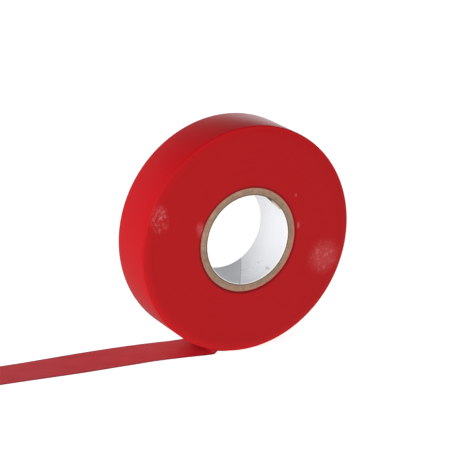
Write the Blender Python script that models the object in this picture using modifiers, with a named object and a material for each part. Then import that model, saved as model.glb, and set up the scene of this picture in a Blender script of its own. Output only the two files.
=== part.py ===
"""Electrical tape roll: a spiral-wound paper core, the wound vinyl tape and its peeled free end.

Metres, +Z up. The origin is the middle of the bore and +Y runs along the bore axis.
The roll stands on its rim. The strip comes off at the bottom and lies along -X,
film side down and adhesive side up.
"""

import math

import bmesh
import bpy

# Driving dimensions, in metres and degrees.
TAPE_WIDTH = 0.019            # slit width of the tape, and the length of the core
TAPE_THICKNESS = 0.00013      # vinyl film with its adhesive
ROLL_RADIUS = 0.041           # outer turn, middle of a facet
CORE_RADIUS = 0.0188          # outside of the chipboard core
BORE_RADIUS = 0.0160          # inside of the paper liner
LINER_THICKNESS = 0.0002      # white paper that lines the bore
PLY_COUNT = 6                 # chipboard plies in the core wall
GLUE_GAP = 0.00005            # glue line between two plies
WINDING_GAP = 0.0001          # between the core and the first turn, and under the stuck strip
RIM_ROUNDING = 0.0005         # rounded rim of the wound tape
RIM_STEPS = 3                 # segments in a rounded rim
FACETS = 72                   # facets around the roll, one of them flat on the ground

STUCK_FROM = 7.5              # where the strip's own solid starts, degrees round from the bottom
PEEL_ANGLE = 12.5             # where the strip leaves the roll, degrees round from the bottom
TOUCH_DOWN = 0.0112           # distance from the bottom to where the strip meets the ground
PEEL_STEPS = 6                # segments in the step from the roll down to the ground
LIFT_HINGE = 0.025            # distance from the bottom to the line the free end lifts about
HINGE_GAP = 0.0003            # gap between the two strip solids at that line
FREE_END = 0.128              # distance from the bottom to the cut end
RUN_STEP = 0.006              # segment length along the flat run
NECKED_WIDTH = 0.0165         # width of the strip once it has been pulled off
NECK_LENGTH = 0.018           # length over which the strip narrows
STRIP_DRIFT = 0.0006          # how far the cut end lies towards -Y

FLAT_TO_CORNER = 1.0 / math.cos(math.pi / FACETS)
GROUND = -ROLL_RADIUS

VINYL_RED = (0.55, 0.014, 0.022, 1.0)
CHIPBOARD = (0.40, 0.31, 0.23, 1.0)
LINER_WHITE = (0.80, 0.80, 0.78, 1.0)


def clear_scene():
    for item in list(bpy.data.objects):
        bpy.data.objects.remove(item, do_unlink=True)


def new_collection(name):
    collection = bpy.data.collections.new(name)
    bpy.context.scene.collection.children.link(collection)
    return collection


def plain_material(name, colour, roughness):
    material = bpy.data.materials.new(name)
    material.use_nodes = True
    shader = material.node_tree.nodes["Principled BSDF"]
    shader.inputs["Base Color"].default_value = colour
    shader.inputs["Roughness"].default_value = roughness
    shader.inputs["Metallic"].default_value = 0.0
    return material


def place(name, mesh, material, collection, parent):
    mesh.materials.append(material)
    item = bpy.data.objects.new(name, mesh)
    collection.objects.link(item)
    item.parent = parent
    return item


def joint_empty(name, location, collection, parent=None):
    empty = bpy.data.objects.new(name, None)
    empty.location = location
    empty.parent = parent
    collection.objects.link(empty)
    return empty


def outline_mesh(name, points, closed):
    """A chain of edges through the points, as a profile or a strip edge."""
    shape = bmesh.new()
    corners = [shape.verts.new(point) for point in points]
    for first, second in zip(corners, corners[1:]):
        shape.edges.new((first, second))
    if closed:
        shape.edges.new((corners[-1], corners[0]))
    mesh = bpy.data.meshes.new(name)
    shape.to_mesh(mesh)
    shape.free()
    return mesh


def ring_profile(inner, outer, rounding):
    """Half section of a ring, down its outer side, with rounded outer corners."""
    half = TAPE_WIDTH / 2
    points = [(inner, 0.0, half)]
    if rounding > 0:
        for step in range(RIM_STEPS + 1):
            turn = math.radians(90 - 90 * step / RIM_STEPS)
            points.append((outer - rounding + rounding * math.cos(turn), 0.0,
                           half - rounding + rounding * math.sin(turn)))
        points += [(x, y, -z) for x, y, z in reversed(points[1:])]
    else:
        points += [(outer, 0.0, half), (outer, 0.0, -half)]
    points.append((inner, 0.0, -half))
    return points


def turned_ring(name, inner, outer, material, collection, parent, rounding=0.0):
    """A ring around the bore axis; the radii are measured to the middle of its facets."""
    profile = ring_profile(inner * FLAT_TO_CORNER, outer * FLAT_TO_CORNER, rounding)
    ring = place(name, outline_mesh(name, profile, closed=True), material, collection, parent)
    turn = ring.modifiers.new("turn", "SCREW")
    turn.axis = "Z"
    turn.angle = math.tau
    turn.screw_offset = 0.0
    turn.steps = FACETS
    turn.render_steps = FACETS
    turn.use_smooth_shade = rounding > 0
    # The turning axis is laid along Y, and a facet is turned to face straight down.
    ring.rotation_euler = (math.pi / 2, math.pi / FACETS, 0.0)
    return ring


def ease(fraction):
    clamped = min(max(fraction, 0.0), 1.0)
    return clamped * clamped * (3 - 2 * clamped)


def strip_edge_y(distance, side):
    """Y of the strip's edge at a distance from the bottom; side is -1 near or +1 far."""
    necked = ease((distance - TOUCH_DOWN) / NECK_LENGTH)
    width = TAPE_WIDTH + (NECKED_WIDTH - TAPE_WIDTH) * necked
    middle = -STRIP_DRIFT * ease((distance - TOUCH_DOWN) / (FREE_END - TOUCH_DOWN))
    return middle + side * width / 2


def stuck_point(angle):
    """A point of the strip's middle surface where it is still stuck to the roll."""
    radius = (ROLL_RADIUS + WINDING_GAP + TAPE_THICKNESS / 2) * FLAT_TO_CORNER
    turn = math.radians(angle)
    return radius * math.sin(turn), -radius * math.cos(turn)


def flat_run(start, end):
    """Distances along the ground, evenly spaced from start to end."""
    count = max(1, round((end - start) / RUN_STEP))
    return [start + (end - start) * step / count for step in range(count + 1)]


def peeled_root_route():
    """Distance and height along the strip, from under the roll to the lifting line."""
    resting = GROUND + TAPE_THICKNESS / 2
    leave, height = stuck_point(PEEL_ANGLE)
    route = [stuck_point(STUCK_FROM), (leave, height)]
    for step in range(1, PEEL_STEPS):
        part = step / PEEL_STEPS
        route.append((leave + (TOUCH_DOWN - leave) * part, height + (resting - height) * ease(part)))
    for distance in flat_run(TOUCH_DOWN, LIFT_HINGE - HINGE_GAP / 2):
        route.append((distance, resting))
    return route


def free_end_route():
    resting = GROUND + TAPE_THICKNESS / 2
    return [(distance, resting) for distance in flat_run(LIFT_HINGE + HINGE_GAP / 2, FREE_END)]


def tape_strip(name, route, material, collection, parent, pivot):
    """A length of tape: its near edge is extruded across its width, then given its thickness."""
    near_edge = [(-distance, strip_edge_y(distance, -1), height) for distance, height in route]
    mesh = outline_mesh(name, near_edge, closed=False)
    shape = bmesh.new()
    shape.from_mesh(mesh)
    widened = bmesh.ops.extrude_edge_only(shape, edges=shape.edges[:])
    for corner in [part for part in widened["geom"] if isinstance(part, bmesh.types.BMVert)]:
        corner.co.y = strip_edge_y(-corner.co.x, 1)
    bmesh.ops.translate(shape, verts=shape.verts[:], vec=[-value for value in pivot])
    bmesh.ops.recalc_face_normals(shape, faces=shape.faces[:])
    shape.to_mesh(mesh)
    shape.free()
    strip = place(name, mesh, material, collection, parent)
    wall = strip.modifiers.new("thickness", "SOLIDIFY")
    wall.thickness = TAPE_THICKNESS
    wall.offset = 0.0
    wall.use_even_offset = True
    return strip


def build_core(collection, axle):
    chipboard = plain_material("chipboard", CHIPBOARD, 0.9)
    liner_paper = plain_material("liner_paper", LINER_WHITE, 0.75)
    liner_outside = BORE_RADIUS + LINER_THICKNESS
    turned_ring("core_liner", BORE_RADIUS, liner_outside, liner_paper, collection, axle)
    ply_pitch = (CORE_RADIUS - liner_outside) / PLY_COUNT
    for number in range(1, PLY_COUNT + 1):
        outside = liner_outside + ply_pitch * number
        inside = outside - ply_pitch + GLUE_GAP
        turned_ring(f"core_ply_{number}", inside, outside, chipboard, collection, axle)


def build_tape(collection, axle, unwinding):
    vinyl = plain_material("red_vinyl", VINYL_RED, 0.4)
    turned_ring("tape_wound", CORE_RADIUS + WINDING_GAP, ROLL_RADIUS, vinyl, collection, axle,
                rounding=RIM_ROUNDING)
    tape_strip("tape_peeled_root", peeled_root_route(), vinyl, collection, unwinding,
               pivot=(0.0, 0.0, 0.0))
    hinge_line = (-LIFT_HINGE, 0.0, GROUND + TAPE_THICKNESS / 2)
    lifting = joint_empty("tail_lift_axis", hinge_line, collection, unwinding)
    tape_strip("tape_free_end", free_end_route(), vinyl, collection, lifting, pivot=hinge_line)


def main():
    clear_scene()
    collection = new_collection("electrical_tape_roll")
    axle = joint_empty("bore_axis", (0.0, 0.0, 0.0), collection)
    unwinding = joint_empty("unwind_axis", (0.0, 0.0, 0.0), collection)
    build_core(collection, axle)
    build_tape(collection, axle, unwinding)


main()
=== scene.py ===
"""The looks of the electrical tape roll: satin vinyl, chipboard core, paper liner and a peeled strip.

Metres, in the frame's own axes: +Y along the bore, +Z up, the strip lies along -X.
"""

import math
import random

import bmesh
import bpy
from mathutils import Matrix, Vector


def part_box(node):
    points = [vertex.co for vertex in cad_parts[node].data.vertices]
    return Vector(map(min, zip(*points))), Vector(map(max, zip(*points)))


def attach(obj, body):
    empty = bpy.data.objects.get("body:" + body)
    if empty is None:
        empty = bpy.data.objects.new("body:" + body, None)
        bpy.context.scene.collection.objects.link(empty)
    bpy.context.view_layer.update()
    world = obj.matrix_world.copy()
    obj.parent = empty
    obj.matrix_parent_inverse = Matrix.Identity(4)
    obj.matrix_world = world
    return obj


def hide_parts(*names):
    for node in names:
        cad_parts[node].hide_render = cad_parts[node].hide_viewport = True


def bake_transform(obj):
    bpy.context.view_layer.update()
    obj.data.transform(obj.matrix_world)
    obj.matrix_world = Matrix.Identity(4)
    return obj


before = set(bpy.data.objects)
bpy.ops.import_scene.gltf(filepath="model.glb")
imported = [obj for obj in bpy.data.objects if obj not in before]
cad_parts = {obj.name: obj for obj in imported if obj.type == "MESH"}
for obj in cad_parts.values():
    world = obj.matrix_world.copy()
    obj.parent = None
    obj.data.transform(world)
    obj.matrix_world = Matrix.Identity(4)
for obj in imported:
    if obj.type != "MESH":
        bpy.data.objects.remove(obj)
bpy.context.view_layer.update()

# ---------------------------------------------------------------- sizes, from the frame
ROLL_LOW, ROLL_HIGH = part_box("tape_wound")
ROLL_RADIUS = ROLL_HIGH.x
FRONT, BACK = ROLL_LOW.y, ROLL_HIGH.y
GROUND = ROLL_LOW.z
TAPE_WIDTH = BACK - FRONT
PLY_NAMES = sorted(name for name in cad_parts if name.startswith("core_ply_"))
LINER_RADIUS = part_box("core_liner")[1].x
CORE_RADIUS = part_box(PLY_NAMES[-1])[1].x
STRIP_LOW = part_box("tape_free_end")[0]

LINER_THICKNESS = 0.0002
TAPE_THICKNESS = 0.00013
WOUND_INSIDE = CORE_RADIUS + 0.00012
TURN_PITCH = TAPE_THICKNESS

# The strip's route, as the frame's own strip lies: distances from the bottom of the roll.
PEEL_ANGLE = math.radians(13.4)
TOUCH_DOWN = 0.0112
FREE_END = -STRIP_LOW.x
NECKED_WIDTH = 0.0165
STRIP_DRIFT = 0.0006

# ---------------------------------------------------------------- studio
VIEW_AZIMUTH = math.radians(-30.6)
VIEW_ELEVATION = math.radians(17.48)
VIEW_ROLL = math.radians(3.29)
VIEW_DISTANCE = 0.6892
VIEW_RIGHT = 0.00085
VIEW_UP = -0.00168
LENS = 148.7
FLOOR_GLOW = 0.86              # a pale table, evenly lit from within


def add_camera():
    """A long lens, a little to the left of the front face and above it."""
    a, e, turn = VIEW_AZIMUTH, VIEW_ELEVATION, VIEW_ROLL
    back = Vector((math.sin(a) * math.cos(e), -math.cos(a) * math.cos(e), math.sin(e)))
    level_right = Vector((math.cos(a), math.sin(a), 0.0))
    level_up = back.cross(level_right)
    right = level_right * math.cos(turn) + level_up * math.sin(turn)
    up = level_up * math.cos(turn) - level_right * math.sin(turn)
    data = bpy.data.cameras.new("studio_camera")
    data.lens = LENS
    data.sensor_width = 36.0
    data.clip_start = 0.01
    camera = bpy.data.objects.new("studio_camera", data)
    bpy.context.scene.collection.objects.link(camera)
    camera.matrix_world = Matrix((
        (right.x, up.x, back.x, 0.0),
        (right.y, up.y, back.y, 0.0),
        (right.z, up.z, back.z, 0.0),
        (0.0, 0.0, 0.0, 1.0),
    ))
    camera.location = back * VIEW_DISTANCE + right * VIEW_RIGHT + up * VIEW_UP
    bpy.context.scene.camera = camera


def add_softbox(name, place, aim, size, power):
    data = bpy.data.lights.new(name, "AREA")
    data.shape = "RECTANGLE"
    data.size, data.size_y = size
    data.energy = power
    lamp = bpy.data.objects.new(name, data)
    lamp.location = place
    lamp.rotation_mode = "QUATERNION"
    lamp.rotation_quaternion = (Vector(aim) - Vector(place)).to_track_quat("-Z", "Y")
    lamp.visible_camera = False
    bpy.context.scene.collection.objects.link(lamp)
    return lamp


def add_studio():
    world = bpy.data.worlds.new("studio_air")
    world.use_nodes = True
    sky = world.node_tree.nodes["Background"]
    sky.inputs["Color"].default_value = (1.0, 1.0, 1.0, 1.0)
    sky.inputs["Strength"].default_value = 0.27
    bpy.context.scene.world = world
    bpy.context.scene.view_settings.view_transform = "Standard"
    add_softbox("left_softbox", (-0.73, -0.59, 0.22), (0, 0, 0), (0.7, 0.7), 5.7)
    add_softbox("back_softbox", (0.55, 1.1, 0.08), (0, 0, 0.08), (1.7, 0.56), 3.3)
    fill = add_softbox("back_fill", (-0.70, 1.0, 0.30), (0, 0, 0), (0.8, 0.6), 4.2)
    fill.visible_glossy = False

    bpy.ops.mesh.primitive_plane_add(size=6.0, location=(0, 0, GROUND - 0.00002))
    floor = bpy.context.active_object
    floor.name = "floor"
    paint = bpy.data.materials.new("floor_paint")
    paint.use_nodes = True
    shader = paint.node_tree.nodes["Principled BSDF"]
    shader.inputs["Base Color"].default_value = (0.5, 0.5, 0.5, 1.0)
    shader.inputs["Roughness"].default_value = 0.9
    shader.inputs["Specular IOR Level"].default_value = 0.0
    shader.inputs["Emission Color"].default_value = (1.0, 1.0, 1.0, 1.0)
    shader.inputs["Emission Strength"].default_value = FLOOR_GLOW
    floor.data.materials.append(paint)
    floor.visible_glossy = False


# ---------------------------------------------------------------- node helpers
def add_node(tree, kind, place, **settings):
    node = tree.nodes.new(kind)
    node.location = place
    for name, value in settings.items():
        setattr(node, name, value)
    return node


def set_input(tree, node, socket, source):
    """Links source to a socket when source is an output, and stores it there when it is a value."""
    if isinstance(source, bpy.types.NodeSocket):
        tree.links.new(source, node.inputs[socket])
    else:
        node.inputs[socket].default_value = source


def maths(tree, operation, first, second=None, place=(0, 0), third=None):
    node = add_node(tree, "ShaderNodeMath", place, operation=operation)
    for index, value in enumerate((first, second, third)):
        if value is not None:
            set_input(tree, node, index, value)
    return node.outputs[0]


def mix_colour(tree, amount, first, second, place=(0, 0), blend_type="MIX"):
    node = add_node(tree, "ShaderNodeMix", place, data_type="RGBA", blend_type=blend_type)
    set_input(tree, node, 0, amount)
    set_input(tree, node, 6, first)
    set_input(tree, node, 7, second)
    return node.outputs[2]


def remap(tree, value, low, high, new_low, new_high, place=(0, 0), smooth=False):
    node = add_node(tree, "ShaderNodeMapRange", place, clamp=True)
    node.interpolation_type = "SMOOTHSTEP" if smooth else "LINEAR"
    set_input(tree, node, 0, value)
    for index, number in enumerate((low, high, new_low, new_high), start=1):
        set_input(tree, node, index, number)
    return node.outputs[0]


def new_group(name, inputs, outputs):
    """A shader node group; inputs and outputs are lists of (name, socket kind, default)."""
    group = bpy.data.node_groups.new(name, "ShaderNodeTree")
    for label, kind, default in inputs:
        socket = group.interface.new_socket(label, in_out="INPUT", socket_type=kind)
        if default is not None:
            socket.default_value = default
    for label, kind in outputs:
        group.interface.new_socket(label, in_out="OUTPUT", socket_type=kind)
    enter = add_node(group, "NodeGroupInput", (-1200, 0))
    leave = add_node(group, "NodeGroupOutput", (900, 0))
    return group, enter.outputs, leave


def place_group(tree, group, place, **values):
    node = add_node(tree, "ShaderNodeGroup", place, node_tree=group)
    for label, value in values.items():
        set_input(tree, node, label.replace("_", " "), value)
    return node.outputs


def new_material(name):
    material = bpy.data.materials.new(name)
    material.use_nodes = True
    tree = material.node_tree
    return material, tree, tree.nodes["Principled BSDF"]


def object_place(tree):
    return add_node(tree, "ShaderNodeTexCoord", (-1600, 0)).outputs["Object"]


FLOAT, VECTOR, COLOUR = "NodeSocketFloat", "NodeSocketVector", "NodeSocketColor"


def make_polar_group():
    """Radius from the bore axis, angle round it and depth along it."""
    group, enter, leave = new_group(
        "polar_place", [("Place", VECTOR, None)],
        [("Radius", FLOAT), ("Angle", FLOAT), ("Depth", FLOAT)])
    split = add_node(group, "ShaderNodeSeparateXYZ", (-900, 0))
    group.links.new(enter["Place"], split.inputs[0])
    x, y, z = split.outputs
    square_x = maths(group, "MULTIPLY", x, x, (-700, 200))
    square_z = maths(group, "MULTIPLY", z, z, (-700, 50))
    total = maths(group, "ADD", square_x, square_z, (-500, 150))
    group.links.new(maths(group, "SQRT", total, place=(-300, 150)), leave.inputs["Radius"])
    group.links.new(maths(group, "ARCTAN2", x, z, (-500, -50)), leave.inputs["Angle"])
    group.links.new(y, leave.inputs["Depth"])
    return group


def make_grain_group():
    """Fine uneven surface: a mask for shade and a height for bump."""
    group, enter, leave = new_group(
        "grain", [("Place", VECTOR, None), ("Scale", FLOAT, 800.0), ("Detail", FLOAT, 4.0)],
        [("Shade", FLOAT), ("Height", FLOAT)])
    noise = add_node(group, "ShaderNodeTexNoise", (-600, 100))
    group.links.new(enter["Place"], noise.inputs["Vector"])
    group.links.new(enter["Scale"], noise.inputs["Scale"])
    group.links.new(enter["Detail"], noise.inputs["Detail"])
    group.links.new(remap(group, noise.outputs["Fac"], 0.3, 0.7, 0.0, 1.0, (-300, 150)),
                    leave.inputs["Shade"])
    group.links.new(noise.outputs["Fac"], leave.inputs["Height"])
    return group


def make_patch_mask_group():
    """A patch mask: strong at its centre, fading out, and broken into specks."""
    group, enter, leave = new_group(
        "patch_mask_group",
        [("Place", VECTOR, None), ("Centre", VECTOR, (0, 0, 0)), ("Reach", VECTOR, (1, 1, 1)),
         ("Turn", VECTOR, (0, 0, 0)), ("Speck Scale", FLOAT, 6.0), ("Broken", FLOAT, 1.0)],
        [("Mask", FLOAT)])
    shift = add_node(group, "ShaderNodeVectorMath", (-950, 100), operation="SUBTRACT")
    group.links.new(enter["Place"], shift.inputs[0])
    group.links.new(enter["Centre"], shift.inputs[1])
    turned = add_node(group, "ShaderNodeVectorRotate", (-800, 100), rotation_type="EULER_XYZ")
    group.links.new(shift.outputs[0], turned.inputs["Vector"])
    group.links.new(enter["Turn"], turned.inputs["Rotation"])
    scaled = add_node(group, "ShaderNodeVectorMath", (-600, 100), operation="DIVIDE")
    group.links.new(turned.outputs[0], scaled.inputs[0])
    group.links.new(enter["Reach"], scaled.inputs[1])
    length = add_node(group, "ShaderNodeVectorMath", (-400, 100), operation="LENGTH")
    group.links.new(scaled.outputs[0], length.inputs[0])
    inside = remap(group, length.outputs["Value"], 0.2, 1.0, 1.0, 0.0, (-200, 100), smooth=True)
    speck = add_node(group, "ShaderNodeTexNoise", (-600, -200))
    speck.inputs["Detail"].default_value = 5.0
    speck.inputs["Roughness"].default_value = 0.7
    group.links.new(scaled.outputs[0], speck.inputs["Vector"])
    group.links.new(enter["Speck Scale"], speck.inputs["Scale"])
    specks = remap(group, speck.outputs["Fac"], 0.48, 0.66, 0.0, 1.0, (-200, -200))
    whole = maths(group, "SUBTRACT", 1.0, enter["Broken"], (-200, -400))
    kept = maths(group, "MAXIMUM", specks, whole, (0, -200))
    group.links.new(maths(group, "MULTIPLY", inside, kept, (200, 0)), leave.inputs["Mask"])
    return group


GROUPS = {
    "polar": make_polar_group(),
    "grain": make_grain_group(),
    "patch_mask": make_patch_mask_group(),
}


# ---------------------------------------------------------------- finishes
def vinyl_face_finish():
    """The slit side of the roll: edges of the turns, with scuffed patches whose pale specks are partly
    painted highlight, two painted glints, a painted highlight along the rim and painted shade where the
    turns meet the core.
    """
    material, tree, shader = new_material("vinyl_slit_face")
    place = object_place(tree)
    radius = place_group(tree, GROUPS["polar"], (-1400, 300), Place=place)["Radius"]
    wander = add_node(tree, "ShaderNodeTexNoise", (-1200, -100), noise_dimensions="1D")
    wander.inputs["Scale"].default_value = 900.0
    wander.inputs["Detail"].default_value = 3.0
    tree.links.new(radius, wander.inputs["W"])
    bands = remap(tree, wander.outputs["Fac"], 0.3, 0.7, 0.0, 1.0, (-1000, -100))
    turns = maths(tree, "SINE", maths(tree, "MULTIPLY", radius, math.tau / TURN_PITCH, (-1200, 200)),
                  place=(-1000, 200))
    shade, height = place_group(tree, GROUPS["grain"], (-1000, -400), Place=place, Scale=2500.0)

    # Scuffed patches on the front, and two painted glints.
    scuffs_and_glints = None
    for centre, reach, turn, scale, broken in FRONT_SCUFFS_AND_GLINTS:
        mask = place_group(tree, GROUPS["patch_mask"], (-700, -700), Place=place, Centre=centre,
                           Reach=reach, Turn=(0.0, turn, 0.0), Speck_Scale=scale,
                           Broken=broken)["Mask"]
        scuffs_and_glints = mask if scuffs_and_glints is None else maths(tree, "MAXIMUM", scuffs_and_glints, mask, (-450, -700))

    red = mix_colour(tree, bands, (0.450, 0.0046, 0.0074, 1), (0.474, 0.0055, 0.0083, 1), (-600, 300))
    grown = mix_colour(tree, maths(tree, "MULTIPLY", shade, 0.25, (-600, 100)), red,
                       (0.44, 0.003, 0.006, 1), (-400, 300))
    # Pale pink over the patches: partly painted highlight on the scuffed vinyl, and wholly painted in the
    # two glints.
    overlay = mix_colour(tree, maths(tree, "MULTIPLY", scuffs_and_glints, 0.7, (-300, -500)), grown,
                        (0.75, 0.22, 0.23, 1), (-200, 300))
    # Painted highlight: a brighter red band just inside the outer rim of the face.
    rim_highlight = remap(tree, radius, ROLL_RADIUS - RIM_FALL_WIDTH, ROLL_RADIUS - RIM_ROUNDING, 0.0, 0.33,
                     (-400, 600), smooth=True)
    overlay = mix_colour(tree, rim_highlight, overlay, (0.62, 0.006, 0.010, 1), (-100, 500))
    # Painted shade: a dark band on the innermost turns, where the tape meets the core.
    core_gap_shade = remap(tree, radius, WOUND_INSIDE + 0.0002, WOUND_INSIDE + 0.0009, 0.85, 0.0, (-200, 500))
    deep = mix_colour(tree, core_gap_shade, overlay, (0.12, 0.003, 0.004, 1), (0, 400))
    tree.links.new(deep, shader.inputs["Base Color"])
    rough = remap(tree, bands, 0.0, 1.0, 0.42, 0.52, (-400, 0))
    tree.links.new(rough, shader.inputs["Roughness"])
    shader.inputs["Specular IOR Level"].default_value = 0.15

    relief = maths(tree, "ADD", maths(tree, "MULTIPLY", turns, 0.2, (-700, -200)),
                   maths(tree, "MULTIPLY", bands, 0.4, (-700, -300)), (-500, -200))
    relief = maths(tree, "ADD", relief, maths(tree, "MULTIPLY", scuffs_and_glints, 1.5, (-500, -400)), (-300, -200))
    relief = maths(tree, "ADD", relief, maths(tree, "MULTIPLY", height, 0.4, (-500, -500)), (-100, -200))
    bump = add_node(tree, "ShaderNodeBump", (100, -200))
    bump.inputs["Strength"].default_value = 0.35
    bump.inputs["Distance"].default_value = 0.00003
    tree.links.new(relief, bump.inputs["Height"])
    tree.links.new(bump.outputs["Normal"], shader.inputs["Normal"])
    return material


def vinyl_film_finish():
    """The film side of the tape: smooth, softly glossy, faintly marked, with painted shade along its back
    edge.
    """
    material, tree, shader = new_material("vinyl_film")
    place = object_place(tree)
    stretch = add_node(tree, "ShaderNodeMapping", (-1400, -200))
    stretch.inputs["Scale"].default_value = (1.0, 3.0, 1.0)
    tree.links.new(place, stretch.inputs["Vector"])
    along = add_node(tree, "ShaderNodeTexNoise", (-1200, -200))
    along.inputs["Scale"].default_value = 90.0
    along.inputs["Detail"].default_value = 3.0
    tree.links.new(stretch.outputs[0], along.inputs["Vector"])
    shade, height = place_group(tree, GROUPS["grain"], (-1200, -500), Place=place, Scale=1400.0)
    red = mix_colour(tree, along.outputs["Fac"], (0.570, 0.0035, 0.009, 1), (0.595, 0.004, 0.010, 1),
                     (-600, 200))
    depth = place_group(tree, GROUPS["polar"], (-1200, 600), Place=place)["Depth"]
    # Painted shade: the film darkens along its back edge.
    back_edge_shade = remap(tree, depth, BACK - 0.0008, BACK - 0.0003, 0.0, 0.85, (-800, 600))
    deep = mix_colour(tree, back_edge_shade, red, (0.08, 0.002, 0.012, 1), (-400, 300))
    tree.links.new(deep, shader.inputs["Base Color"])
    tree.links.new(remap(tree, along.outputs["Fac"], 0.2, 0.8, 0.29, 0.34, (-600, 0)),
                   shader.inputs["Roughness"])
    shader.inputs["Specular IOR Level"].default_value = 0.12
    relief = maths(tree, "ADD", maths(tree, "MULTIPLY", along.outputs["Fac"], 1.0, (-800, -200)),
                   maths(tree, "MULTIPLY", height, 0.3, (-800, -400)), (-600, -200))
    bump = add_node(tree, "ShaderNodeBump", (-300, -200))
    bump.inputs["Strength"].default_value = 0.1
    bump.inputs["Distance"].default_value = 0.00003
    tree.links.new(relief, bump.inputs["Height"])
    tree.links.new(bump.outputs["Normal"], shader.inputs["Normal"])
    return material


def adhesive_finish():
    """The adhesive side of the free strip: dull, streaked along its length, darker at its edges."""
    material, tree, shader = new_material("strip_adhesive_side")
    strip_map = add_node(tree, "ShaderNodeUVMap", (-1600, 0), uv_map="strip_map").outputs["UV"]
    split = add_node(tree, "ShaderNodeSeparateXYZ", (-1400, 0))
    tree.links.new(strip_map, split.inputs[0])
    stretch = add_node(tree, "ShaderNodeMapping", (-1400, -200))
    stretch.inputs["Scale"].default_value = (60.0, 8.0, 1.0)
    tree.links.new(strip_map, stretch.inputs["Vector"])
    streaks = add_node(tree, "ShaderNodeTexNoise", (-1200, -200))
    streaks.inputs["Scale"].default_value = 1.0
    streaks.inputs["Detail"].default_value = 4.0
    tree.links.new(stretch.outputs[0], streaks.inputs["Vector"])
    clouds = add_node(tree, "ShaderNodeTexNoise", (-1200, -450))
    clouds.inputs["Scale"].default_value = 140.0
    tree.links.new(object_place(tree), clouds.inputs["Vector"])
    dull = mix_colour(tree, remap(tree, clouds.outputs["Fac"], 0.35, 0.65, 0.0, 1.0, (-900, -400)),
                      (0.70, 0.020, 0.034, 1), (0.75, 0.032, 0.046, 1), (-600, 200))
    streaked = mix_colour(tree, remap(tree, streaks.outputs["Fac"], 0.45, 0.75, 0.0, 0.6, (-900, -200)),
                          dull, (0.80, 0.070, 0.085, 1), (-400, 200))
    across = maths(tree, "ABSOLUTE", split.outputs[1], place=(-1200, 100))
    edge = remap(tree, across, 0.90, 0.98, 0.0, 0.9, (-900, 100), smooth=True)
    edged = mix_colour(tree, edge, streaked, (0.24, 0.004, 0.014, 1), (-200, 200))
    tree.links.new(edged, shader.inputs["Base Color"])
    tree.links.new(remap(tree, streaks.outputs["Fac"], 0.3, 0.7, 0.42, 0.6, (-600, 0)),
                   shader.inputs["Roughness"])
    shader.inputs["Specular IOR Level"].default_value = 0.12
    bump = add_node(tree, "ShaderNodeBump", (-300, -200))
    bump.inputs["Strength"].default_value = 0.25
    bump.inputs["Distance"].default_value = 0.00004
    tree.links.new(streaks.outputs["Fac"], bump.inputs["Height"])
    tree.links.new(bump.outputs["Normal"], shader.inputs["Normal"])
    return material


def chipboard_finish(name, tone):
    """Grey-brown board, fibrous and flecked; tone shifts one ply from the next.

    The tape has stained its outer edge pink, and painted shade darkens its inner edge beside the liner.
    """
    material, tree, shader = new_material(name)
    place = object_place(tree)
    fleck, fleck_height = place_group(tree, GROUPS["grain"], (-1200, 200), Place=place, Scale=1600.0)
    cloud, cloud_height = place_group(tree, GROUPS["grain"], (-1200, -100), Place=place, Scale=420.0)
    patch = place_group(tree, GROUPS["grain"], (-1200, -400), Place=place, Scale=170.0,
                        Detail=2.0)["Shade"]
    dark = tuple(value * tone for value in (0.23, 0.130, 0.082)) + (1.0,)
    light = tuple(value * tone for value in (0.44, 0.265, 0.18)) + (1.0,)
    pale = tuple(value * tone for value in (0.60, 0.44, 0.33)) + (1.0,)
    olive = tuple(value * tone for value in (0.25, 0.175, 0.115)) + (1.0,)
    board = mix_colour(tree, cloud, dark, light, (-700, 200))
    flecked = mix_colour(tree, maths(tree, "MULTIPLY", fleck, 0.5, (-900, 0)), board, pale, (-400, 200))
    patched = mix_colour(tree, maths(tree, "MULTIPLY", patch, 0.55, (-900, -300)), flecked, olive,
                         (-200, 200))
    radius = place_group(tree, GROUPS["polar"], (-1200, 500), Place=place)["Radius"]
    stain = remap(tree, radius, CORE_RADIUS - 0.0005, CORE_RADIUS - 0.0002, 0.0, 0.65, (-400, 400))
    stained = mix_colour(tree, stain, patched, (0.58, 0.22, 0.16, 1), (0, 200))
    # Painted shade: a dark line on the innermost ply, along the gap beside the liner.
    liner_gap_shade = remap(tree, radius, LINER_RADIUS + 0.00025, LINER_RADIUS + 0.0006, 0.85, 0.0, (-400, 600))
    gap_shaded = mix_colour(tree, liner_gap_shade, stained, (0.10, 0.080, 0.050, 1), (200, 200))
    torn = remap(tree, radius, LINER_RADIUS - 0.0001, LINER_RADIUS + 0.0001, 0.9, 0.0, (-400, 800))
    frayed = mix_colour(tree, torn, gap_shaded, (0.62, 0.46, 0.34, 1), (400, 200))
    tree.links.new(frayed, shader.inputs["Base Color"])
    tree.links.new(remap(tree, fleck, 0.0, 1.0, 0.85, 0.98, (-700, -100)), shader.inputs["Roughness"])
    shader.inputs["Specular IOR Level"].default_value = 0.2
    bump = add_node(tree, "ShaderNodeBump", (-300, -200))
    bump.inputs["Strength"].default_value = 0.8
    bump.inputs["Distance"].default_value = 0.00012
    tree.links.new(maths(tree, "ADD", fleck_height, cloud_height, (-700, -300)), bump.inputs["Height"])
    tree.links.new(bump.outputs["Normal"], shader.inputs["Normal"])
    return material


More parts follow.
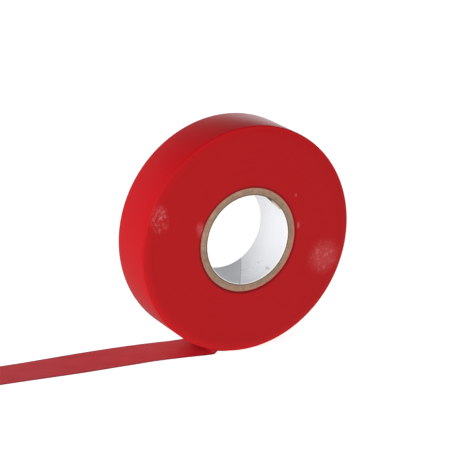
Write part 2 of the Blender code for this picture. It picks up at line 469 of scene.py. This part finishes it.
def liner_finish():
    """White paper, a little grey, with a bright cut edge, painted shade beside its seam that darkens
    towards the back, greyer streaks towards the bottom and smudges.
    """
    material, tree, shader = new_material("liner_paper")
    place = object_place(tree)
    polar = place_group(tree, GROUPS["polar"], (-1400, 200), Place=place)
    angle, depth = polar["Angle"], polar["Depth"]
    wound = maths(tree, "ADD", angle, maths(tree, "MULTIPLY", depth, SEAM_TWIST, (-1200, 0)),
                  (-1000, 100))
    past_seam = maths(tree, "WRAP", maths(tree, "SUBTRACT", wound, LINER_SEAM, (-800, 100)), math.tau,
                      (-600, 100), third=0.0)
    # Painted shade: grey just past the liner's seam, fading round the bore and darker towards the back.
    seam_shade = maths(tree, "MULTIPLY", remap(tree, past_seam, 0.0, 1.6, 1.0, 0.0, (-400, 100), smooth=True),
                   remap(tree, depth, FRONT, BACK, 0.55, 1.1, (-400, 250)), (-250, 200))
    fibre, fibre_height = place_group(tree, GROUPS["grain"], (-1200, -300), Place=place, Scale=900.0)
    paper = mix_colour(tree, maths(tree, "MULTIPLY", fibre, 0.35, (-800, -200)),
                       (0.81, 0.82, 0.84, 1), (0.74, 0.75, 0.78, 1), (-400, 400))
    greyed = mix_colour(tree, maths(tree, "MULTIPLY", seam_shade, 0.7, (-200, 100)), paper,
                        (0.47, 0.48, 0.50, 1), (-100, 400))
    round_place = add_node(tree, "ShaderNodeCombineXYZ", (-1000, -500))
    set_input(tree, round_place, 0, maths(tree, "MULTIPLY", angle, 4.5, (-1200, -450)))
    set_input(tree, round_place, 1, maths(tree, "MULTIPLY", depth, 1100.0, (-1200, -550)))
    bottom_streaks = add_node(tree, "ShaderNodeTexNoise", (-800, -500))
    bottom_streaks.inputs["Scale"].default_value = 1.0
    bottom_streaks.inputs["Detail"].default_value = 3.0
    tree.links.new(round_place.outputs[0], bottom_streaks.inputs["Vector"])
    # Greyer towards the bottom of the bore, in streaks.
    low_side = remap(tree, maths(tree, "COSINE", angle, place=(-1000, -700)), -0.70, -0.97, 0.0, 0.35,
                     (-800, -700), smooth=True)
    overlay = maths(tree, "MULTIPLY", low_side,
                   remap(tree, bottom_streaks.outputs["Fac"], 0.45, 0.68, 0.0, 1.0, (-600, -500)), (-400, -600))
    greyed = mix_colour(tree, overlay, greyed, (0.50, 0.51, 0.53, 1), (0, 550))
    edge = remap(tree, depth, FRONT + 0.0003, FRONT + 0.0009, 1.0, 0.0, (-400, -100))
    bright = mix_colour(tree, edge, greyed, (0.93, 0.91, 0.88, 1), (100, 400))
    smudges = None
    for clock, inward, reach in LINER_SMUDGES:
        turn = math.radians(clock)
        centre = (LINER_RADIUS * math.sin(turn), FRONT + inward, LINER_RADIUS * math.cos(turn))
        mask = place_group(tree, GROUPS["patch_mask"], (-700, -900), Place=place, Centre=centre,
                           Reach=reach, Speck_Scale=1.5, Broken=0.5)["Mask"]
        smudges = mask if smudges is None else maths(tree, "MAXIMUM", smudges, mask, (-450, -700))
    marked = mix_colour(tree, maths(tree, "MULTIPLY", smudges, 0.9, (100, -500)), bright,
                        (0.24, 0.23, 0.22, 1), (300, 400))
    tree.links.new(marked, shader.inputs["Base Color"])
    tree.links.new(remap(tree, fibre, 0.0, 1.0, 0.6, 0.75, (-400, -300)), shader.inputs["Roughness"])
    shader.inputs["Specular IOR Level"].default_value = 0.3
    bump = add_node(tree, "ShaderNodeBump", (0, -200))
    bump.inputs["Strength"].default_value = 0.3
    bump.inputs["Distance"].default_value = 0.00005
    tree.links.new(fibre_height, bump.inputs["Height"])
    tree.links.new(bump.outputs["Normal"], shader.inputs["Normal"])
    return material


# ---------------------------------------------------------------- modelling helpers
def deselect_all():
    if bpy.context.mode != "OBJECT":
        bpy.ops.object.mode_set(mode="OBJECT")
    bpy.ops.object.select_all(action="DESELECT")


def make_active(piece):
    deselect_all()
    piece.select_set(True)
    bpy.context.view_layer.objects.active = piece


def apply_place(piece):
    make_active(piece)
    bpy.ops.object.transform_apply(location=True, rotation=True, scale=True)


def apply_modifiers(piece):
    make_active(piece)
    for modifier in list(piece.modifiers):
        bpy.ops.object.modifier_apply(modifier=modifier.name)


def select_faces(piece, wanted):
    """In edit mode, selects only the faces that wanted(centre, normal) accepts."""
    bpy.ops.object.mode_set(mode="EDIT")
    bpy.ops.mesh.select_mode(type="FACE")
    bpy.ops.mesh.select_all(action="DESELECT")
    shape = bmesh.from_edit_mesh(piece.data)
    for face in shape.faces:
        face.select_set(wanted(face.calc_center_median(), face.normal))
    bmesh.update_edit_mesh(piece.data)


def select_edges(piece, wanted):
    """In edit mode, selects only the edges that wanted(first point, second point) accepts."""
    bpy.ops.object.mode_set(mode="EDIT")
    bpy.ops.mesh.select_mode(type="EDGE")
    bpy.ops.mesh.select_all(action="DESELECT")
    shape = bmesh.from_edit_mesh(piece.data)
    for edge in shape.edges:
        edge.select_set(wanted(edge.verts[0].co, edge.verts[1].co))
    bmesh.update_edit_mesh(piece.data)


def leave_edit():
    bpy.ops.object.mode_set(mode="OBJECT")


def smooth(piece, angle_degrees):
    make_active(piece)
    bpy.ops.object.shade_smooth_by_angle(angle=math.radians(angle_degrees))


def axis_distance(point):
    return math.hypot(point.x, point.z)


def ease(part):
    """A smooth rise from 0 to 1 as part goes from 0 to 1, level at both ends."""
    part = min(max(part, 0.0), 1.0)
    return part * part * (3 - 2 * part)


def swell(distance, middle, reach):
    """A smooth hump of height 1 at the middle, gone at the reach on either side."""
    return ease(1 - abs(distance - middle) / reach)


# ---------------------------------------------------------------- the wound tape
FACE_RINGS = 24
WOUND_SEGMENTS = 288
RIM_ROUNDING = 0.0006
RIM_LAND = RIM_ROUNDING * 1.2  # flat left at the rim for its rounding
INNER_CHAMFER = 0.0002
RING_STEP = 0.000008           # the most that one ring of the face stands out from the next
RIM_FALL = 0.0003              # the faces stand out from the outermost turns by this much
RIM_FALL_WIDTH = 0.0028
RIM_FALL_RINGS = 8
# Scuffed patches on the front face, their pale colour partly painted highlight; the last two entries are
# painted glints.
FRONT_SCUFFS_AND_GLINTS = [
    # centre, reach, turn about the bore axis, specks across, how far it is broken into specks
    ((-0.0356, FRONT, 0.0112), (0.0046, 0.004, 0.0072), math.radians(18), 6.0, 1.0),
    ((-0.0346, FRONT, 0.0134), (0.0024, 0.004, 0.0036), math.radians(18), 4.0, 0.9),
    ((-0.0190, FRONT, 0.0056), (0.0024, 0.004, 0.0040), math.radians(20), 3.0, 0.7),
    ((0.0318, FRONT, -0.0095), (0.0080, 0.004, 0.0080), math.radians(25), 7.0, 0.75),
    ((0.0201, FRONT, 0.0034), (0.0006, 0.004, 0.0018), 0.0, 2.0, 0.4),
    ((0.0183, FRONT, 0.0146), (0.0006, 0.004, 0.0010), 0.0, 2.0, 0.6),
]


def rim_fall(outward):
    """How far the face has fallen back at a distance out from where it starts to."""
    return RIM_FALL * (outward / RIM_FALL_WIDTH) ** 2


def model_wound_tape():
    """A cylinder whose two ends are inset ring by ring, down to the core, and bridged into a bore."""
    uneven = random.Random(4)
    deselect_all()
    bpy.ops.mesh.primitive_cylinder_add(
        vertices=WOUND_SEGMENTS, radius=ROLL_RADIUS, depth=TAPE_WIDTH, end_fill_type="NGON",
        location=(0, (FRONT + BACK) / 2, 0), rotation=(math.pi / 2, 0, 0))
    roll = bpy.context.active_object
    roll.name = "wound_tape"
    apply_place(roll)
    select_faces(roll, lambda centre, normal: abs(normal.y) > 0.9)
    ring_width = (ROLL_RADIUS - WOUND_INSIDE - RIM_LAND - RIM_FALL_WIDTH) / FACE_RINGS
    bpy.ops.mesh.inset(thickness=RIM_LAND, depth=0.0)
    edge_width = RIM_FALL_WIDTH / RIM_FALL_RINGS
    for ring in range(RIM_FALL_RINGS):
        outer = rim_fall(RIM_FALL_WIDTH - edge_width * ring)
        inner = rim_fall(RIM_FALL_WIDTH - edge_width * (ring + 1))
        bpy.ops.mesh.inset(thickness=edge_width, depth=outer - inner)
    level = 0.0
    for ring in range(FACE_RINGS):
        step = uneven.uniform(-RING_STEP, RING_STEP) - level * 0.5
        level += step
        bpy.ops.mesh.inset(thickness=ring_width, depth=step)
    bpy.ops.mesh.bridge_edge_loops()
    select_edges(roll, lambda a, b: abs(axis_distance(a) - ROLL_RADIUS) < 1e-6
                 and abs(axis_distance(b) - ROLL_RADIUS) < 1e-6 and abs(a.y - b.y) < 1e-6)
    bpy.ops.mesh.bevel(offset=RIM_ROUNDING, segments=5, profile=0.5)
    inside = WOUND_INSIDE + 1e-5
    select_edges(roll, lambda a, b: axis_distance(a) < inside and axis_distance(b) < inside
                 and abs(a.y - b.y) < 1e-6)
    bpy.ops.mesh.bevel(offset=INNER_CHAMFER, segments=2, profile=0.5)
    leave_edit()
    smooth(roll, 40)
    roll.data.materials.append(vinyl_film_finish())
    roll.data.materials.append(vinyl_face_finish())
    for face in roll.data.polygons:
        if abs(face.normal.y) > 0.75:
            face.material_index = 1
    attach(roll, "roll")
    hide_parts("tape_wound")


# ---------------------------------------------------------------- the core
CORE_SEGMENTS = 288
CORE_CUTS = (0.0003, 0.0007, 0.0012, 0.0018, 0.0026, 0.0036, 0.005, 0.007, 0.0095, 0.012, 0.0145, 0.017)
SEAM_SLIT = 0.00012
WALL_GAP = 0.00002             # between one ply's wall and the next
LINER_FRAY = 0.00003
PLY_FRAY = 0.00005
PLY_TONES = (0.95, 1.06, 0.9, 1.0, 1.08, 1.0)
PLY_SEAM_SPREAD = 40           # spreads the plies' seams round the core, by their tones
SEAM_TWIST = math.radians(41.9) / TAPE_WIDTH    # how far a seam winds round for each metre of depth
LINER_SEAM = math.radians(167.4)
LINER_SMUDGES = [
    # degrees clockwise from the top, depth from the front face, reach
    (140, 0.0025, (0.0010, 0.0024, 0.0006)),
    (140, 0.0090, (0.0006, 0.0009, 0.0006)),
    (115, 0.0190, (0.0006, 0.0005, 0.0006)),
    (124, 0.0188, (0.0006, 0.0005, 0.0006)),
    (62, 0.0130, (0.0005, 0.0007, 0.0005)),
]
LIFT_FROM = math.radians(20.5)     # the liner comes away from the plies here, clockwise from the top
LIFT_FULL = math.radians(34)       # it stands off fully from here
FLAP_FROM = math.radians(33.5)     # from here the innermost ply is swollen and fills the gap
LIFT_END = math.radians(50)        # and both step back here
LIFT_STEP = math.radians(1.3)
LIFT_HEIGHT = 0.00060
LIFT_DEPTH = 0.0048                # how deep into the bore the lift reaches


def lift_inward(point, start, rise_over):
    """How far the loose lip of the core stands in from its round, near the front face."""
    angle = math.atan2(point.x, point.z)
    if angle < start or angle > LIFT_END + LIFT_STEP:
        return 0.0
    rise = ease((angle - start) / rise_over)
    fall = 1 - ease((angle - LIFT_END) / LIFT_STEP)
    return LIFT_HEIGHT * rise * fall * ease(1 - (point.y - FRONT) / LIFT_DEPTH)


def fray_rim(tube, uneven, amount):
    """Roughens the two cut ends of a paper tube."""
    for point in tube.data.vertices:
        if min(abs(point.co.y - FRONT), abs(point.co.y - BACK)) < 1e-5:
            point.co.y += uneven.uniform(-amount, amount)


def model_paper_tube(name, outside, thickness, seam_angle):
    """A tube with a slit along it, wound into a spiral and then given its wall."""
    deselect_all()
    bpy.ops.mesh.primitive_cylinder_add(
        vertices=CORE_SEGMENTS, radius=outside, depth=TAPE_WIDTH, end_fill_type="NOTHING")
    tube = bpy.context.active_object
    tube.name = name
    bpy.ops.object.mode_set(mode="EDIT")
    for depth in CORE_CUTS:
        bpy.ops.mesh.select_all(action="SELECT")
        bpy.ops.mesh.bisect(plane_co=(0, 0, TAPE_WIDTH / 2 - depth), plane_no=(0, 0, 1))
    select_edges(tube, lambda a, b: a.x > 0 and abs(a.y) < 1e-6 and abs(b.y) < 1e-6 and b.x > 0)
    bpy.ops.mesh.bevel(offset=SEAM_SLIT / 2, segments=1)
    select_faces(tube, lambda centre, normal: centre.x > 0 and abs(centre.y) < SEAM_SLIT / 4)
    bpy.ops.mesh.delete(type="FACE")
    leave_edit()
    twist = tube.modifiers.new("wind", "SIMPLE_DEFORM")
    twist.deform_method = "TWIST"
    twist.deform_axis = "Z"
    twist.angle = -SEAM_TWIST * TAPE_WIDTH
    apply_modifiers(tube)
    tube.rotation_euler = (math.pi / 2, seam_angle - math.pi / 2, 0)
    apply_place(tube)
    wall = tube.modifiers.new("wall", "SOLIDIFY")
    wall.thickness = thickness
    wall.offset = -1.0
    apply_modifiers(tube)
    return tube


def push_in(tube, start, rise_over, keep_beyond):
    """Pushes the loose lip of a tube inward; what lies beyond a radius stays."""
    for point in tube.data.vertices:
        radius = axis_distance(point.co)
        if radius < keep_beyond:
            inward = lift_inward(point.co, start, rise_over) / radius
            point.co.x *= 1 - inward
            point.co.z *= 1 - inward


def model_core():
    uneven = random.Random(11)
    liner = model_paper_tube("bore_liner", LINER_RADIUS, LINER_THICKNESS, LINER_SEAM)
    push_in(liner, LIFT_FROM, LIFT_FULL - LIFT_FROM, LINER_RADIUS + LINER_THICKNESS)
    fray_rim(liner, uneven, LINER_FRAY)
    smooth(liner, 35)
    liner.data.materials.append(liner_finish())
    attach(liner, "roll")
    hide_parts("core_liner")
    inside = LINER_RADIUS
    for name, tone in zip(PLY_NAMES, PLY_TONES):
        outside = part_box(name)[1].x
        ply = model_paper_tube(name.replace("core_ply", "chipboard_ply"), outside,
                               outside - inside - WALL_GAP, tone * PLY_SEAM_SPREAD)
        if name == PLY_NAMES[0]:
            push_in(ply, FLAP_FROM, LIFT_STEP, (inside + outside) / 2)
        fray_rim(ply, uneven, PLY_FRAY)
        smooth(ply, 35)
        ply.data.materials.append(chipboard_finish("chipboard_" + name[-1], tone))
        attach(ply, "roll")
        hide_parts(name)
        inside = outside


# ---------------------------------------------------------------- the free strip
STRIP_STEPS = 150
STRIP_COLUMNS = 16
STUCK_FROM = math.radians(4.0)
STUCK_STEPS = 14
RAMP_STEPS = 16
PEEL_SKEW = 0.0004             # the far edge meets the ground this much further out
ROOT_INSET = 0.0005            # the stuck root stays inside the rounded rim of the roll
NEAR_NECK = 0.018              # length over which the near edge draws in
FAR_NECK = 0.010               # length over which the far edge draws in
FAR_NECK_START = 0.004         # it starts while the strip is still stuck
STUCK_SINK = 0.0001            # the stuck film starts this far inside the roll's surface
LEAVE_RISE = 0.00003           # and leaves it this far outside
SETTLE = 0.012                 # the ripples grow over this length past the step
RIPPLE = 0.00005
RIPPLE_LENGTH = 0.031
# Height, middle and reach of the long swells that lift each edge.
FAR_SWELLS = ((0.00030, 0.046, 0.022), (0.00012, 0.106, 0.020))
NEAR_SWELLS = ((0.00017, 0.034, 0.010), (0.00014, 0.090, 0.018))


def strip_edges(distance):
    """Y of the near and far edges at a distance from the bottom of the roll."""
    half, necked = TAPE_WIDTH / 2, NECKED_WIDTH / 2
    drift = STRIP_DRIFT * ease((distance - 0.025) / 0.07)
    near = -half + (half - necked) * ease((distance - TOUCH_DOWN) / NEAR_NECK) - drift
    far = half - (half - necked) * ease((distance - FAR_NECK_START) / FAR_NECK) - drift
    far -= 0.0004 * swell(distance, 0.018, 0.010) + 0.0006 * ease((distance - 0.055) / 0.04)
    near += 0.0003 * ease((distance - 0.060) / 0.04)
    return near, far


def strip_lift(distance, across):
    """How far the strip stands off the ground: long shallow ripples, a little deeper at its edges."""
    settled = ease((distance - TOUCH_DOWN - PEEL_SKEW) / SETTLE)
    far_side = ease((across + 1) / 2)
    far_lift = sum(height * swell(distance, middle, reach) for height, middle, reach in FAR_SWELLS)
    near_lift = sum(height * swell(distance, middle, reach) for height, middle, reach in NEAR_SWELLS)
    ripple = RIPPLE + RIPPLE * math.sin(distance * math.tau / RIPPLE_LENGTH + 1.3 * across)
    return settled * (far_lift * far_side + near_lift * (1 - far_side) + ripple)


def strip_point(step, across):
    """A point of the film side: under the roll, down the ramp and along the ground."""
    if step <= STUCK_STEPS:
        part = step / STUCK_STEPS
        angle = STUCK_FROM + (PEEL_ANGLE - STUCK_FROM) * part
        radius = ROLL_RADIUS - STUCK_SINK + (STUCK_SINK + LEAVE_RISE) * part
        distance = radius * math.sin(angle)
        height = max(-radius * math.cos(angle), GROUND)
        inset = ROOT_INSET * (1 - ease(part * 1.2))
        near, far = strip_edges(distance)
        return distance, near + inset + (far - near - 2 * inset) * (across + 1) / 2, height
    leave = (ROLL_RADIUS + LEAVE_RISE) * math.sin(PEEL_ANGLE)
    start = -(ROLL_RADIUS + LEAVE_RISE) * math.cos(PEEL_ANGLE)
    touch = TOUCH_DOWN + PEEL_SKEW * ease((across + 1) * 0.8)
    if step <= STUCK_STEPS + RAMP_STEPS:
        part = (step - STUCK_STEPS) / RAMP_STEPS
        distance = leave + (touch - leave) * part
        height = start + (GROUND - start) * ease(part)
    else:
        part = (step - STUCK_STEPS - RAMP_STEPS) / STRIP_STEPS
        distance = touch + (FREE_END - touch) * part
        height = GROUND + strip_lift(distance, across)
    near, far = strip_edges(distance)
    return distance, near + (far - near) * (across + 1) / 2, height


def model_strip():
    """One ribbon of tape from its stuck root to its cut end, adhesive side up."""
    steps = STUCK_STEPS + RAMP_STEPS + STRIP_STEPS
    deselect_all()
    bpy.ops.mesh.primitive_grid_add(x_subdivisions=steps, y_subdivisions=STRIP_COLUMNS, size=1)
    strip = bpy.context.active_object
    strip.name = "free_strip"
    mesh = strip.data
    strip_map = mesh.uv_layers[0]
    strip_map.name = "strip_map"
    places = {}
    for corner in mesh.vertices:
        across = corner.co.y * 2
        distance, y, height = strip_point(round((0.5 - corner.co.x) * steps), across)
        places[corner.index] = (distance, across)
        corner.co = (-distance, y, height)
    for loop in mesh.loops:
        strip_map.data[loop.index].uv = places[loop.vertex_index]
    wall = strip.modifiers.new("thickness", "SOLIDIFY")
    wall.thickness = TAPE_THICKNESS
    wall.offset = 1.0
    wall.material_offset = 1
    wall.material_offset_rim = 1
    apply_modifiers(strip)
    smooth(strip, 50)
    mesh.materials.append(adhesive_finish())
    mesh.materials.append(vinyl_film_finish())
    for step in range(STUCK_STEPS + RAMP_STEPS // 2, steps + 1, 6):
        distance, y, height = strip_point(step, 0.0)
    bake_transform(strip)
    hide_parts("tape_peeled_root", "tape_free_end")


add_camera()
add_studio()
model_strip()
model_wound_tape()
model_core()
